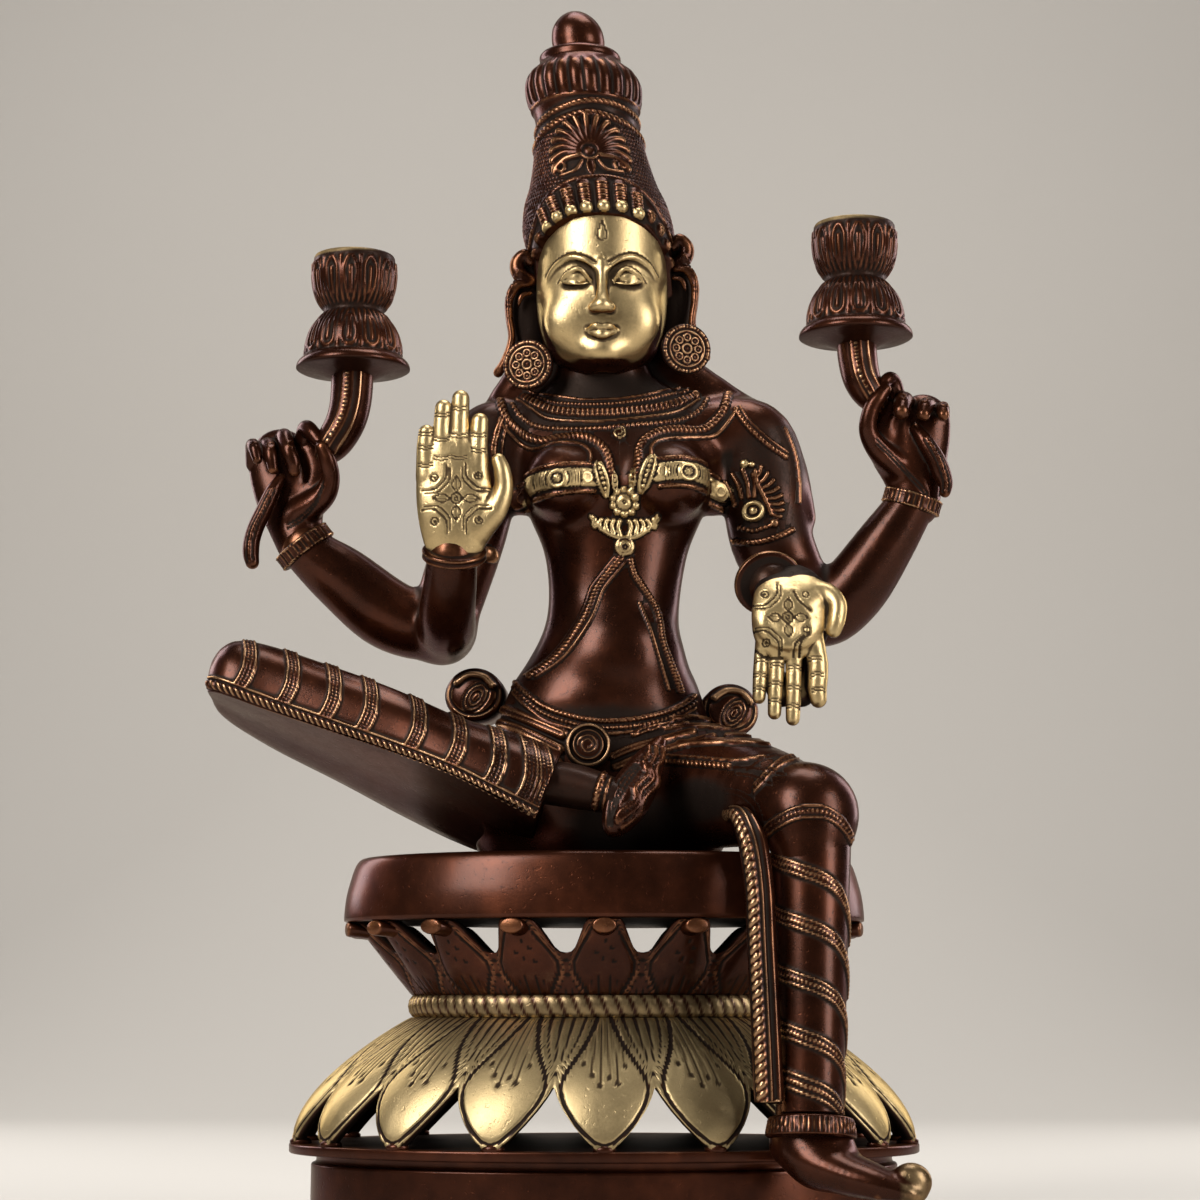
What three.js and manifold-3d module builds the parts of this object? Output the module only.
// Seated four-armed goddess in cast brass on an oval double-lotus plinth.
// Millimetres, +Z up, +X to the viewer's right, the figure faces -Y, origin under the plinth's centre.

import * as THREE from 'three';
import { mergeVertices } from 'three/addons/utils/BufferGeometryUtils.js';
import Module from 'manifold-3d';

const wasm = await Module();
wasm.setup();

// Driving sizes of the plinth
const plinthOval = 0.655; // depth of every oval as a share of its width
const drumWidth = 281;
const drumHeight = 36;
const footOverhang = 5.5;
const footHeight = 7;
const grooveDepth = 2.5;
const grooveHeight = 4.5;
const ledgeOverhang = 11;
const ledgeThickness = 5;
const edgeBreak = 1.5; // softening where a face of the plinth turns a corner
const petalCount = 18;
const lowerLotusHeight = 58.5;
const lowerGapHeight = 29;
const waistWidth = 190;
const waistHeight = 11.5;
const waistBulge = 2.5;
const upperLotusHeight = 34;
const upperGapHeight = 20;
const petalWall = 5.5;
const petalBulge = 3;
const bluntTip = 0.2; // width of a petal's blunt tip as a share of the petal
const seatWidth = 253;
const seatTopWidth = 230;
const seatThickness = 31.5;
const upperTipInset = 1;
const lowerTipInset = 2;

// Driving sizes of the figure
const figureHeight = 437; // seat to the top of the crown
const shinThickness = 31;
const legClearance = 2.5; // air between the hanging leg and the plinth behind it
const seam = 0.3; // air left in the joint between figure and seat
const bite = 1; // how deep touching forms run into each other
const upperBandCount = 8;
const lowerBandCount = 6;

// Foot, groove and ledge follow the drum
const footWidth = drumWidth + 2 * footOverhang;
const grooveWidth = drumWidth - 2 * grooveDepth;
const ledgeWidth = drumWidth + 2 * ledgeOverhang;

// Petal tips end just inside the seat's edge above and the ledge's edge below
const upperTipWidth = seatWidth - 2 * upperTipInset;
const lowerTipWidth = ledgeWidth - 2 * lowerTipInset;

// Heights worked out from the driving sizes
const ledgeUnderside = drumHeight + grooveHeight;
const ledgeTop = ledgeUnderside + ledgeThickness;
const waistBottom = ledgeTop + lowerLotusHeight;
const waistTop = waistBottom + waistHeight;
const seatUnderside = waistTop + upperLotusHeight;
const seatTop = seatUnderside + seatThickness;

// The figure's own free form is given as shares of its height, for a figure 437 high
const drawnHeight = 437;
const figureScale = figureHeight / drawnHeight;

const brownBrass = new THREE.MeshStandardMaterial({ color: 0x4a2215, roughness: 0.32, metalness: 0.85 });
const goldBrass = new THREE.MeshStandardMaterial({ color: 0xb08d4c, roughness: 0.36, metalness: 0.9 });

const vec = (x, y, z) => new THREE.Vector3(x, y, z);
const mix = THREE.MathUtils.lerp;
const { PI, cos, sin, sqrt, min, max, sign } = Math;

// Solids and joins

function signedVolume(geometry) {
  const p = geometry.attributes.position;
  const index = geometry.index.array;
  let sum = 0;
  for (let i = 0; i < index.length; i += 3) {
    const a = vec().fromBufferAttribute(p, index[i]);
    const b = vec().fromBufferAttribute(p, index[i + 1]);
    const c = vec().fromBufferAttribute(p, index[i + 2]);
    sum += a.dot(b.cross(c)) / 6;
  }
  return sum;
}

function faceOutward(geometry) {
  if (signedVolume(geometry) > 0) return geometry;
  const index = geometry.index.array;
  for (let i = 0; i < index.length; i += 3) {
    const second = index[i + 1];
    index[i + 1] = index[i + 2];
    index[i + 2] = second;
  }
  return geometry;
}

function solid(geometry) {
  geometry.deleteAttribute('normal');
  geometry.deleteAttribute('uv');
  const merged = faceOutward(mergeVertices(geometry, 1e-4));
  const vertProperties = new Float32Array(merged.attributes.position.array);
  const triVerts = new Uint32Array(merged.index.array);
  return new wasm.Manifold(new wasm.Mesh({ numProp: 3, vertProperties, triVerts }));
}

const join = (geometries) => geometries.map(solid).reduce((whole, next) => whole.add(next));

// Surface of a joined form, with the sealed pockets between its parts filled:
// a pocket's skin is a separate shell of negative volume, and it is left out
function geometryOf(manifold) {
  const mesh = manifold.getMesh();
  const position = new THREE.BufferAttribute(new Float32Array(mesh.vertProperties), 3);
  const corners = mesh.triVerts;
  const triangles = Array.from({ length: corners.length / 3 }, (_, i) => corners.slice(3 * i, 3 * i + 3));
  const parent = Array.from({ length: position.count }, (_, i) => i);
  const root = (v) => {
    while (parent[v] !== v) v = parent[v] = parent[parent[v]];
    return v;
  };
  for (const [a, b, c] of triangles) {
    parent[root(a)] = root(b);
    parent[root(b)] = root(c);
  }
  const shells = Map.groupBy(triangles, ([a]) => root(a));
  const kept = [...shells.values()].filter((shell) => {
    const skin = new THREE.BufferGeometry().setAttribute('position', position);
    return signedVolume(skin.setIndex(shell.flatMap((t) => [...t]))) > 0;
  });
  const whole = new THREE.BufferGeometry().setAttribute('position', position);
  return mergeVertices(whole.setIndex(kept.flat().flatMap((t) => [...t])).toNonIndexed(), 0);
}

// Closed skin over rows of points: each row closes round, and a flat cap shuts each end
function gridGeometry(rows) {
  const across = rows[0].length;
  const points = rows.flat();
  const index = [];
  for (let r = 0; r < rows.length - 1; r++) {
    for (let c = 0; c < across; c++) {
      const right = (c + 1) % across;
      const a = r * across + c;
      const b = r * across + right;
      const d = a + across;
      const e = b + across;
      index.push(a, b, e, a, e, d);
    }
  }
  for (const r of [0, rows.length - 1]) {
    const middle = points.length;
    const centre = rows[r].reduce((sum, p) => sum.add(p), vec(0, 0, 0)).divideScalar(across);
    points.push(centre);
    for (let c = 0; c < across; c++) {
      const a = r * across + c;
      const b = r * across + ((c + 1) % across);
      index.push(...(r === 0 ? [middle, b, a] : [middle, a, b]));
    }
  }
  const geometry = new THREE.BufferGeometry().setFromPoints(points);
  geometry.setIndex(index);
  return geometry;
}

// Forms

// Oval ring that starts at its front; every second point of a fluted ring lies deeper by the flute's depth
function ring(centre, side, depth, halfSide, halfDepth, points, flute = 0) {
  return Array.from({ length: points }, (_, i) => {
    const angle = (2 * PI * i) / points - PI / 2;
    const cut = i % 2 ? flute : 0;
    return centre
      .clone()
      .addScaledVector(side, (halfSide - cut) * cos(angle))
      .addScaledVector(depth, (halfDepth - cut) * sin(angle));
  });
}

// Rounded limb through stations [x, y, z, half width, half depth], with blunt round ends
function limb(stations, points = 8, { depthAxis = vec(0, 1, 0), blunt = 0.6, flute = 0 } = {}) {
  const places = stations.map(([x, y, z]) => vec(x, y, z));
  const rings = stations.map(([, , , half, deep = half], i) => {
    const before = places[max(i - 1, 0)];
    const after = places[min(i + 1, places.length - 1)];
    const along = after.clone().sub(before).normalize();
    const depth = depthAxis.clone().addScaledVector(along, -along.dot(depthAxis)).normalize();
    const side = along.clone().cross(depth);
    return { centre: places[i], along, side, depth, half, deep };
  });
  const rows = rings.map((r) => ring(r.centre, r.side, r.depth, r.half, r.deep, points, flute));
  if (blunt > 0) {
    const end = (r, way) => {
      const centre = r.centre.clone().addScaledVector(r.along, way * blunt * min(r.half, r.deep));
      return ring(centre, r.side, r.depth, r.half * 0.62, r.deep * 0.62, points, 0);
    };
    rows.unshift(end(rings[0], -1));
    rows.push(end(rings.at(-1), 1));
  }
  return gridGeometry(rows);
}

// Turned form about an upright axis through [x, y], from rows [z, radius, flute depth]
function turned([x, y], rows, points, leanX = 0, leanY = 0) {
  const base = rows[0][0];
  const rings = rows.map(([z, radius, flute = 0]) => {
    const centre = vec(x + leanX * (z - base), y + leanY * (z - base), z);
    return ring(centre, vec(1, 0, 0), vec(0, 1, 0), radius, radius, points, flute);
  });
  return gridGeometry(rings);
}

function ball([x, y, z], halfWidth, halfDepth, halfHeight, around = 10, down = 6) {
  return new THREE.SphereGeometry(1, around, down)
    .rotateX(PI / 2)
    .scale(halfWidth, halfDepth, halfHeight)
    .translate(x, y, z);
}

// Round boss or disc that faces away from a middle point, with a raised rim or a dome
function boss([x, y, z], facing, radius, height, points = 9) {
  const turn = new THREE.Quaternion().setFromUnitVectors(vec(0, 0, 1), facing.clone().normalize());
  const rows = [
    [-height, radius],
    [height * 0.6, radius * 0.94],
    [height * 0.35, radius * 0.62],
    [height, radius * 0.4],
  ];
  return turned([0, 0], rows, points).applyQuaternion(turn).translate(x, y, z);
}

// Fan of lobes with a round boss in its middle, facing away from a middle point
function fan([x, y, z], facing, radius, points) {
  const turn = new THREE.Quaternion().setFromUnitVectors(vec(0, 0, 1), facing.clone().normalize());
  const rows = [
    [-6, radius - 2],
    [0.5, radius, radius * 0.2],
    [2.5, radius * 0.5],
    [2.5, radius * 0.44],
    [5, radius * 0.3],
  ];
  return turned([0, 0], rows, points).applyQuaternion(turn).translate(x, y, z);
}

// Plinth

const ovalFront = (x, width) => (plinthOval * width * sqrt(max(0, 1 - ((2 * x) / width) ** 2))) / 2;

function ovalTurned(profile, points) {
  const rows = profile.map(([z, width]) =>
    ring(vec(0, 0, z), vec(1, 0, 0), vec(0, plinthOval, 0), width / 2, width / 2, points),
  );
  return gridGeometry(rows);
}

function drum() {
  return ovalTurned(
    [
      [0, footWidth],
      [footHeight * 0.7, footWidth],
      [footHeight, drumWidth + 2 * edgeBreak],
      [drumHeight, drumWidth],
      [drumHeight + edgeBreak / 2, grooveWidth],
      [ledgeUnderside, grooveWidth],
      [ledgeUnderside + edgeBreak / 2, ledgeWidth],
      [ledgeTop, ledgeWidth],
    ],
    28,
  );
}

// Both lotuses and the waist between them in one skin. Each petal has three columns: the two corners
// of its blunt tip and the valley beside it. From the waist a petal's wall runs out to its zigzag edge,
// round the edge and back inside, so the gaps between the tips open into the hollow behind.
function petalRing(foot, tip, gapHeight, tipWidth, flare, share, inward) {
  const valley = tip + sign(foot - tip) * gapHeight;
  const footRadius = waistWidth / 2 - waistBulge;
  const columns = [-bluntTip, bluntTip, 1];
  return Array.from({ length: petalCount * columns.length }, (_, i) => {
    const t = columns[i % columns.length];
    const angle = (2 * PI * (Math.floor(i / columns.length) + t / 2)) / petalCount;
    const edge = t === 1 ? valley : tip;
    const z = mix(foot, edge, share);
    const spread = flare((z - foot) / (tip - foot));
    const bulge = t === 1 ? -petalBulge * share : 0;
    const radius = mix(footRadius, tipWidth / 2, spread) + bulge - inward;
    return vec(radius * sin(angle), -plinthOval * radius * cos(angle), z);
  });
}

function lotuses() {
  const roundFlare = (u) => sin((u * PI) / 2) ** 0.9;
  const straightFlare = (u) => u ** 0.95;
  const lower = (share, inward) =>
    petalRing(waistBottom, ledgeTop - bite, lowerGapHeight, lowerTipWidth, roundFlare, share, inward);
  const upper = (share, inward) =>
    petalRing(waistTop, seatUnderside + bite, upperGapHeight, upperTipWidth, straightFlare, share, inward);
  const floor = (rows, lift) => rows.map((p) => vec(p.x, p.y, p.z + lift));
  const widen = waistWidth / (waistWidth - 2 * waistBulge);
  const waist = upper(0, 0).map((p) => vec(p.x * widen, p.y * widen, waistBottom + waistHeight / 2));
  return gridGeometry(
    [
      floor(lower(0, petalWall), -bite),
      lower(1, petalWall),
      lower(1, 0),
      lower(0.5, 0),
      lower(0, 0),
      waist,
      upper(0, 0),
      upper(0.5, 0),
      upper(1, 0),
      upper(1, petalWall),
      floor(upper(0, petalWall), bite),
    ],
  );
}

function seat() {
  return ovalTurned(
    [
      [seatUnderside, seatWidth - 2 * edgeBreak],
      [seatUnderside + edgeBreak, seatWidth],
      [seatUnderside + seatThickness * 0.5, mix(seatWidth, seatTopWidth, 0.12)],
      [seatUnderside + seatThickness * 0.8, mix(seatWidth, seatTopWidth, 0.4)],
      [seatUnderside + seatThickness * 0.95, mix(seatWidth, seatTopWidth, 0.75)],
      [seatTop, seatTopWidth],
    ],
    28,
  );
}

const lotusPlinth = () => join([drum(), lotuses(), seat()]);

// Figure, in figure shares: z counts from the seat

// Torso rows: z, middle x, middle y, half width, half depth, how far the front dips, how proud a band stands
const torsoRows = [
  [0, -2, 12, 60, 44, 0, 0],
  [14, -2, 11, 64, 47, 0, 0],
  [36, -1, 8, 60, 44, 0, 0],
  [62, 0, 3, 52, 37, 5, 0],
  [65, 0, 3, 51, 37, 5, 3.5],
  [72, 0, 2, 50, 36, 5, 3.5],
  [74, 0, 1, 50, 35, 5, 0],
  [84, 0, 0, 47, 33, 2, 0],
  [103, 2, -1, 36.5, 29, 0, 0],
  [120, 4.5, -2, 32.5, 26, 0, 0],
  [152, 6, -1, 36, 27, 0, 0],
  [168, 6, 0, 43, 29, 0, 0],
  [170, 6, 0, 44, 29.5, 0, 2],
  [188, 7, 1, 51, 31, 0, 2],
  [190, 7, 1, 52, 31, 0, 0],
  [204, 8, 3, 57, 28, 0, 0],
  [219, 7, 5, 55, 24, 7, 0],
  [222, 6, 5, 53, 23, 7, 3],
  [228, 4, 5, 45, 21, 6, 2.5],
  [235, 2, 4, 31, 18, 4, 0],
  [242, 0, 2, 24, 18, 0, 0],
  [256, -1, 1, 22, 18, 0, 0],
];

const breasts = [
  [-20, 182],
  [33, 182],
];
const breastHalf = [21, 20];
const breastRise = 15;
const bellyMiddle = [8, 98];
const bellyHalf = [26, 25];
const bellyRise = 7;

const dome = (x, z, [cx, cz], [halfX, halfZ]) =>
  max(0, 1 - ((x - cx) / halfX) ** 2 - ((z - cz) / halfZ) ** 2);

// How far the breasts and the belly stand forward of the plain trunk
function bodySwell(x, z) {
  const breast = breasts.map((middle) => breastRise * sqrt(dome(x, z, middle, breastHalf)));
  return max(...breast, bellyRise * sqrt(dome(x, z, bellyMiddle, bellyHalf)));
}

function torso() {
  const rings = torsoRows.map(([z, x, y, halfWidth, halfDepth, dip, proud]) =>
    Array.from({ length: 14 }, (_, i) => {
      const angle = (2 * PI * i) / 14 - PI / 2;
      const px = x + (halfWidth + proud) * cos(angle);
      const front = max(0, -sin(angle));
      const pz = z - dip * front;
      return vec(px, y + (halfDepth + proud) * sin(angle) - (front > 0.3 ? bodySwell(px, pz) : 0), pz);
    }),
  );
  return gridGeometry(rings);
}

// Front of the body at a place across and up it
function bodyFront(x, z) {
  const i = max(1, torsoRows.findIndex((row) => row[0] >= z));
  const [low, high] = [torsoRows[i - 1], torsoRows[i]];
  const share = (z - low[0]) / (high[0] - low[0]);
  const [, cx, cy, halfWidth, halfDepth] = low.map((value, n) => mix(value, high[n], share));
  return cy - halfDepth * sqrt(max(0, 1 - ((x - cx) / halfWidth) ** 2)) - bodySwell(x, z);
}

// Raised cord or chain laid over the body's front through [x, z] places
function bodyCord(places, radius) {
  return limb(places.map(([x, z]) => [x, bodyFront(x, z) - radius * 0.2, z, radius]), 3, { blunt: 0 });
}

function jewellery() {
  const at = ([x, z], proud = 0) => [x, bodyFront(x, z) - proud, z];
  const forward = vec(0, -1, 0.1);
  return [
    bodyCord([[-38, 212], [-12, 208], [2, 198], [8, 176]], 3.2),
    bodyCord([[50, 212], [26, 208], [15, 198], [10, 176]], 3.2),
    boss(at([10, 170], 2), forward, 9.5, 4, 8),
    boss(at([11, 150], 1), forward, 6, 3, 6),
    limb([[-8, -30, 166, 3, 3], [10, -34, 156, 7, 4], [28, -30, 166, 3, 3]], 4, { blunt: 0 }),
  ];
}

function hips() {
  const knot = (x, z, radius) => boss([x, 1, z], vec(0.12 * sign(x), -1, 0.15), radius, 6, 8);
  return [
    knot(-61, 80, 14.5),
    knot(59, 72, 14.5),
    boss([-8.5, -43, 51], vec(0, -1, 0.25), 11.5, 7, 8),
    limb([[18, -46, 52, 7, 7], [16, -60, 38, 10, 7], [12, -68, 24, 12, 7], [8, -71, 13, 8, 5]], 6,
      { flute: 2, blunt: 0 }),
  ];
}

// Head

const crownLean = [-0.1, 0.065];

function head() {
  const rows = [
    [239, -12, 9, 8],
    [243, -9, 18, 16],
    [250, -6, 26, 23],
    [262, -3, 31.5, 28.5],
    [276, -2, 33, 31],
    [297, -1, 33, 32],
    [318, 0, 33, 32],
  ];
  const rings = rows.map(([z, y, halfWidth, halfDepth]) =>
    ring(vec(-1, y, z), vec(1, 0, 0), vec(0, 1, 0), halfWidth, halfDepth, 10),
  );
  return [
    gridGeometry(rings),
    limb([[-1, -31, 291, 2.6, 2], [-1, -36, 271, 5.5, 5]], 4, { blunt: 0 }),
    limb([[-9, -29, 258, 1.5], [-1, -32, 258, 3.4], [7, -29, 258, 1.5]], 4, { blunt: 0 }),
  ];
}

function ears() {
  const ear = (way, drop) => [
    limb(
      [[-1 + way * 36, -2, 303 - drop, 5, 6], [-1 + way * 42, -2, 288 - drop, 5.5, 7],
        [-1 + way * 41, -5, 263 - drop, 5, 6], [-1 + way * 51, -1, 246 - drop, 3]],
      5,
      { blunt: 0 },
    ),
    boss([way * 39 + 1.5, -13, 245 - drop], vec(way * 0.3, -1, 0), 12.5, 6, 8),
  ];
  return [...ear(-1, 3), ...ear(1, -5)];
}

// Tall crown: a row of rolled curls over the forehead, plain drum with a fan, fluted bulb, ring and finial
function crown() {
  const rows = [
    [298, 34], [316, 38, 3.5], [330, 36, 3.5], [332, 33], [335, 35.5], [340, 32],
    [372, 26], [375, 27.5], [379, 25.5], [384, 27.5, 1.8], [396, 29.8, 2.6], [405, 26, 2.6], [411, 21],
    [416, 19.5], [416.5, 12.8], [427, 13], [437, 3],
  ];
  const [leanX, leanY] = crownLean;
  const fanZ = 354;
  const fanMiddle = [-1 + leanX * (fanZ - 298), leanY * (fanZ - 298) - 26, fanZ];
  return [turned([-1, 2], rows, 16, leanX, leanY), fan(fanMiddle, vec(0, -1, 0.2), 17, 12)];
}

// Locks and shawl that fall behind each shoulder
function shawl() {
  const left = [
    [20, 12, 237, 12, 10], [48, 14, 226, 18, 14], [70, 15, 212, 22, 14],
    [82, 15, 192, 20, 12], [96, 13, 168, 6, 6],
  ];
  const right = [
    [-18, 12, 236, 12, 10], [-44, 14, 221, 17, 13], [-62, 15, 202, 20, 13],
    [-74, 14, 174, 10, 8],
  ];
  return [limb(left, 6, { blunt: 0 }), limb(right, 6, { blunt: 0 })];
}

// Arms: stations [x, y, z, half width, half depth]; the short wide ones are armlets and bracelets
function arms() {
  const sideways = { depthAxis: vec(0, 0, 1), blunt: 0 };
  const open = { blunt: 0 };
  const rightUpper = [[-50, 6, 207, 19], [-61, 7, 190, 19, 18], [-68, 8, 158, 18], [-81, 8, 115, 16]];
  const rightBack = [
    [-78, 8, 116, 16], [-109, 6, 123, 17.7], [-129, 2, 138, 16], [-145, -2, 150, 12.4],
    [-146.5, -2, 151.5, 15.5], [-152, -2, 157, 15], [-153, -2, 159, 12],
  ];
  const rightFront = [
    [-80, 6, 110, 14], [-76, -26, 119, 14], [-73, -49, 136, 12.4],
    [-73, -51, 137.5, 14.8], [-72.5, -56, 143, 14.5], [-72, -57, 145, 12],
  ];
  const leftUpper = [
    [58, 6, 212, 19], [76, 7, 196, 20, 18], [83, 8, 176, 19.5, 18], [85, 8, 160, 18.5],
    [86, 8, 158, 20.5], [87, 8, 152, 20.5], [88, 8, 150, 18], [97, 8, 134, 17],
  ];
  const leftBack = [
    [92, 8, 133, 16], [110, 6, 123, 16.7], [126, 4, 136, 16.7], [140, 0, 156, 14.7], [151, -2, 172, 12.4],
    [152, -2, 174, 15.5], [154.5, -3, 182, 15.5], [155, -3, 184, 12],
  ];
  const leftFront = [
    [95, 8, 132, 16], [83, -36, 125, 14], [82.5, -38, 125, 16.2], [82, -45, 125, 16], [82, -47, 125, 13],
  ];
  return [
    limb(rightUpper, 7, open),
    limb(rightBack, 7, open),
    limb(rightFront, 7, sideways),
    limb(leftUpper, 7, open),
    limb(leftBack, 7, open),
    limb(leftFront, 7, sideways),
  ];
}

// Fan-shaped armlet on the left upper arm; the right one shows a small bud
function armlets() {
  return [fan([80, -9, 170], vec(-0.05, -1, 0.05), 17, 10), ball([-51, -2, 156], 5, 5, 6, 6, 4)];
}

// Open palm with four fingers and a thumb
function openPalm(palm, fingers, thumb) {
  const finger = ([base, tip, half, tipHalf]) => {
    const nearTip = base.map((value, i) => mix(value, tip[i], 0.92));
    return limb([[...base, half], [...nearTip, tipHalf], [...tip, tipHalf * 0.6]], 4, { blunt: 0 });
  };
  return [limb(palm, 6, { blunt: 0 }), ...fingers.map(finger), limb(thumb, 4, { blunt: 0 })];
}

function blessingHand() {
  return openPalm(
    [[-72, -57, 143, 11, 8], [-72, -59, 152, 17, 9.5], [-72, -60, 164, 18.3, 8.5], [-73.5, -60, 185, 18, 6]],
    [
      [[-86.5, -60, 180], [-87, -59, 201], 5, 4.2],
      [[-78.5, -60, 182], [-79, -59, 213], 4.9, 4.4],
      [[-70, -60, 182], [-70, -59, 219], 5, 4.5],
      [[-61, -60, 180], [-61, -60, 207], 4.9, 4.4],
    ],
    [[-62, -60, 156, 6, 7], [-51.5, -61, 169, 5.2, 6], [-51.5, -63, 184, 4, 4]],
  );
}

function givingHand() {
  return openPalm(
    [[88, -48, 128, 12, 8], [88, -53, 119, 17.5, 9.5], [87, -56, 107, 18, 8.5], [86, -57, 91, 16.5, 6]],
    [
      [[73, -56, 95], [73, -56, 71], 4.6, 4],
      [[81, -57, 94], [80, -57, 63], 4.7, 4.2],
      [[90, -57, 94], [89, -57, 59], 4.7, 4.2],
      [[100, -57, 98], [101, -57, 67], 4.9, 4.5],
    ],
    [[101, -54, 122, 6, 7], [111, -58, 115, 5, 5.5], [109.5, -60, 104, 4, 4]],
  );
}

// Hand closed on a flower stem, mirrored by way
function stemHand([x, y, z], way) {
  const at = (across, forward, up, ...halves) => [x + way * across, y - forward, z + up, ...halves];
  const finger = (across, up, half) => {
    const tip = at(across - 3, 14, up - 10, half * 0.7);
    return limb([at(across, -4, up - 4, half), at(across - 1, 6, up + 2, half), tip], 4, { blunt: 0 });
  };
  return [
    limb([at(-1, 0, -20, 12, 11), at(2, 0, -8, 14, 10), at(6, -2, 18, 17, 7)], 6, { blunt: 0 }),
    finger(-8, 28, 4.8),
    finger(1.5, 25, 5),
    finger(10.5, 21, 4.8),
    finger(19, 18, 4.4),
    limb([at(-8, 2, -10, 6, 7), at(-17, 7, 6, 5.5), at(-10, 10, 23, 4.2)], 4, { blunt: 0 }),
  ];
}

function stemHands() {
  return [...stemHand([-152.5, -4, 179], -1), ...stemHand([151, -6, 203], 1)];
}

// Lotus flower held on a curved stem: thin flange, bell of petals, waist and cup with a dished top
function flower([x, y, z], stem) {
  const rows = [
    [z - 6, 10], [z, 28.3], [z + 3, 25.5], [z + 10, 23.5, 2.4], [z + 19, 17.5, 2], [z + 27, 14.6],
    [z + 33, 17.5, 1.5], [z + 43, 20.5, 2.4], [z + 55, 20.2], [z + 58, 20], [z + 54, 15],
  ];
  return [turned([x, y], rows, 10), limb(stem, 5, { blunt: 0 })];
}

function flowers() {
  return [
    ...flower(
      [-125.5, -6, 244],
      [[-173.5, -14, 144, 3.2], [-174, -15, 160, 4], [-168, -16, 178, 4.6], [-155, -14, 195, 5.5],
        [-137, -12, 206, 8.7], [-126, -9, 224, 10.4], [-125, -7, 242, 11]],
    ),
    ...flower(
      [126, -8, 260],
      [[171, -14, 181, 3.4], [168, -15, 192, 4], [162, -16, 204, 4.6], [152, -14, 218, 5.5],
        [137, -12, 228, 8.4], [127.5, -10, 244, 9.8], [126, -9, 258, 10.5]],
    ),
  ];
}

// Folded right leg: sections across it from the knee at the far end to the lap. Shin and thigh lie
// side by side over one flat slanting underside. Rows: x, hem y, hem z, shin top z, back y, back z.
const foldedRows = [
  [-191, -34, 78, 90, -4, 74],
  [-186, -42, 77.5, 99, 6, 68],
  [-176, -46, 74, 103.5, 13, 62],
  [-160, -48, 68, 100.5, 17, 53],
  [-130, -54, 57.5, 90, 22, 38],
  [-100, -60, 47, 78.5, 24, 22],
  [-71, -68, 35.5, 65, 22, 8],
  [-45, -74, 24, 54, 20, 2],
  [-24, -76, 16, 43, 18, 1],
];

function foldedSection(x, raised) {
  const i = max(1, foldedRows.findIndex((row) => row[0] >= x));
  const [low, high] = [foldedRows[i - 1], foldedRows[i]];
  const share = (x - low[0]) / (high[0] - low[0]);
  const [, hemY, hemZ, top, backY, backZ] = low.map((value, n) => mix(value, high[n], share));
  const rise = top - hemZ;
  const shin = min(40, (backY - hemY) * 0.6);
  const outline = [
    [hemY, hemZ],
    [hemY - 2 - raised, hemZ + 0.3 * rise],
    [hemY + 0.12 * shin - raised, hemZ + 0.72 * rise + raised],
    [hemY + 0.42 * shin, top + raised],
    [hemY + 0.75 * shin, top - 0.14 * rise + raised],
    [hemY + shin, top - 0.4 * rise],
    [mix(hemY + shin, backY, 0.55), top - 0.2 * rise],
    [backY, mix(backZ, top, 0.45)],
    [backY - 3, backZ],
  ];
  return outline.map(([y, z]) => vec(x, y, z));
}

// Each band across the shin is a tuck: it stands proud on one side and falls back sharply on the other
function foldedLeg() {
  const firstBand = -174;
  const lastBand = -36;
  const places = foldedRows.map((row) => [row[0], 0]);
  for (let i = 0; i < upperBandCount; i++) {
    const x = mix(firstBand, lastBand, i / (upperBandCount - 1));
    places.push([x, 1.8], [x + 2.5, 0]);
  }
  places.sort((a, b) => a[0] - b[0]);
  const apart = places.filter(([x], i) => i === 0 || x - places[i - 1][0] > 0.5);
  const sections = apart.map(([x, raised]) => foldedSection(x, raised));
  return [
    gridGeometry(sections),
    limb([[-36, -60, 37, 15, 13], [0, -66, 29, 13, 9], [18, -67, 23, 11, 6]], 6, { depthAxis: vec(0, 0, 1) }),
  ];
}

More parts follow.
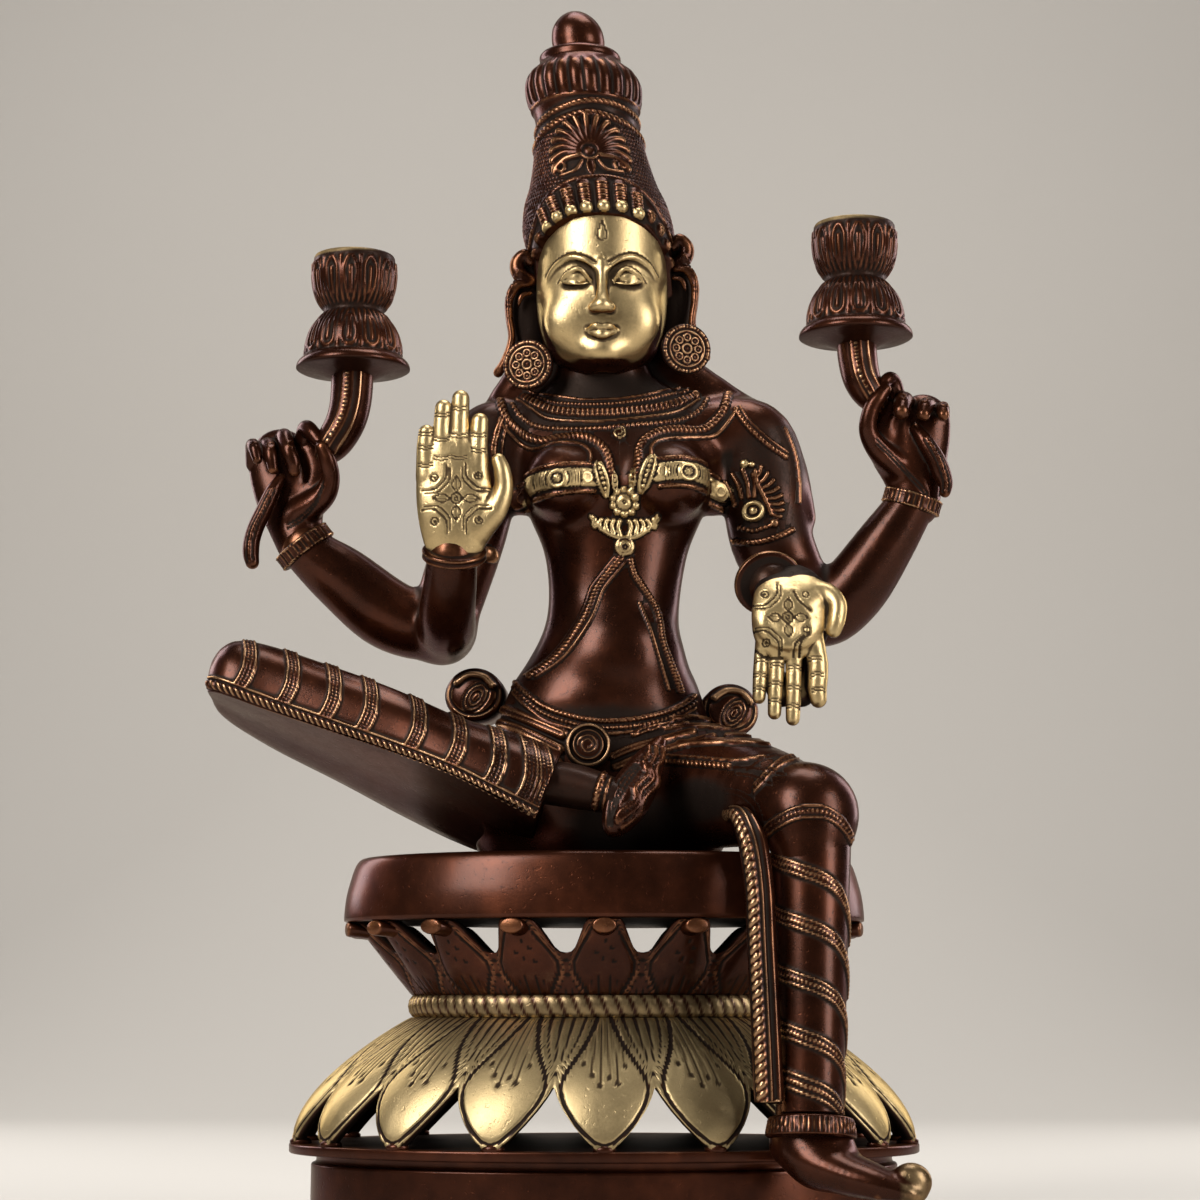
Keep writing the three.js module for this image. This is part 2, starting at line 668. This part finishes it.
// Hanging left leg, in millimetres of the whole: it stays clear of the seat and of the plinth's lower rim
function hangingLeg() {
  const s = figureScale;
  const half = (shinThickness / 2) * s;
  const hipX = 34 * s;
  const kneeX = 95 * s;
  const ankleX = 91.5 * s;
  const hemX = 60 * s;
  const widest = max(ledgeWidth, drumWidth, footWidth);
  const kneeY = -(ovalFront(kneeX - half, seatWidth) + legClearance + half * 1.1);
  const ankleY = -(ovalFront(ankleX - half, widest) + legClearance + half);
  const kneeZ = seatTop + 12 * s;
  const ankleZ = ledgeTop + 12 * s;
  const alongShin = (f) => vec(mix(kneeX, ankleX, f), mix(kneeY, ankleY, f), mix(kneeZ, ankleZ, f));
  const thigh = [
    [hipX, 0, seatTop + 34 * s, 33 * s, 32 * s],
    [mix(hipX, kneeX, 0.45), kneeY * 0.45, seatTop + 29 * s, half * 1.8, half * 1.75],
    [mix(hipX, kneeX, 0.8), kneeY * 0.8, seatTop + 22 * s, half * 1.5, half * 1.35],
    [kneeX, kneeY, kneeZ, half * 1.35, half * 1.15],
  ];
  const rows = [[-0.06, 1.08, 0.2]];
  for (let i = 0; i < lowerBandCount; i++) {
    const f = mix(0.06, 0.84, i / (lowerBandCount - 1));
    rows.push([f, mix(1.1, 0.96, f), 0.35], [f + 0.02, mix(1.1, 0.96, f) + 0.1, 0.35]);
  }
  rows.push([0.97, 0.9, 0.2], [0.98, 1.3, 0.2], [1.08, 1.25, 0.2]);
  const shin = rows.map(([f, swell, tilt]) =>
    ring(alongShin(f), vec(1, 0, -tilt), vec(0, 1, 0), half * swell, half * min(swell, 1.05), 8),
  );
  const { x, y, z } = alongShin(1);
  const foot = [
    [x + 2 * s, y - 2 * s, z - 5 * s, half * 1.1, half],
    [x + 12 * s, y - 10 * s, z - 15 * s, half * 0.95, half * 0.8],
    [x + 28 * s, y - 19 * s, z - 20 * s, half * 0.8, half * 0.6],
    [x + 41 * s, y - 24 * s, z - 25 * s, half * 0.6, half * 0.42],
  ];
  const hem = [
    [44 * s, kneeY * 0.8, seatTop + 40 * s, 6 * s, 6 * s],
    [hemX + 2 * s, kneeY - 2 * s, seatTop + 24 * s, 6 * s, 7 * s],
    [hemX + 8 * s, mix(kneeY, ankleY, 0.2) - 4 * s, mix(kneeZ, ankleZ, 0.16), 8 * s, 7 * s],
    [hemX + 9 * s, y - 4 * s, z + 12 * s, 9 * s, 6 * s],
  ];
  return [
    limb(thigh, 8, { depthAxis: vec(0, 0, 1), blunt: 0.4 }),
    gridGeometry(shin),
    limb(hem, 5, { blunt: 0 }),
    limb(foot, 7),
  ];
}

function figure() {
  const free = [
    torso(),
    ...hips(),
    ...jewellery(),
    ...head(),
    ...ears(),
    ...crown(),
    ...shawl(),
    ...arms(),
    ...armlets(),
    ...blessingHand(),
    ...givingHand(),
    ...stemHands(),
    ...flowers(),
    ...foldedLeg(),
  ].map((geometry) => geometry.scale(figureScale, figureScale, figureScale).translate(0, 0, seatTop + seam));
  return join([...free, ...hangingLeg()]);
}

function named(name, manifold, material) {
  const mesh = new THREE.Mesh(geometryOf(manifold), material);
  mesh.name = name;
  return mesh;
}

const whole = new THREE.Group();
whole.add(named('lotus_plinth', lotusPlinth(), goldBrass));
whole.add(named('lakshmi_figure', figure(), brownBrass));

export default whole;
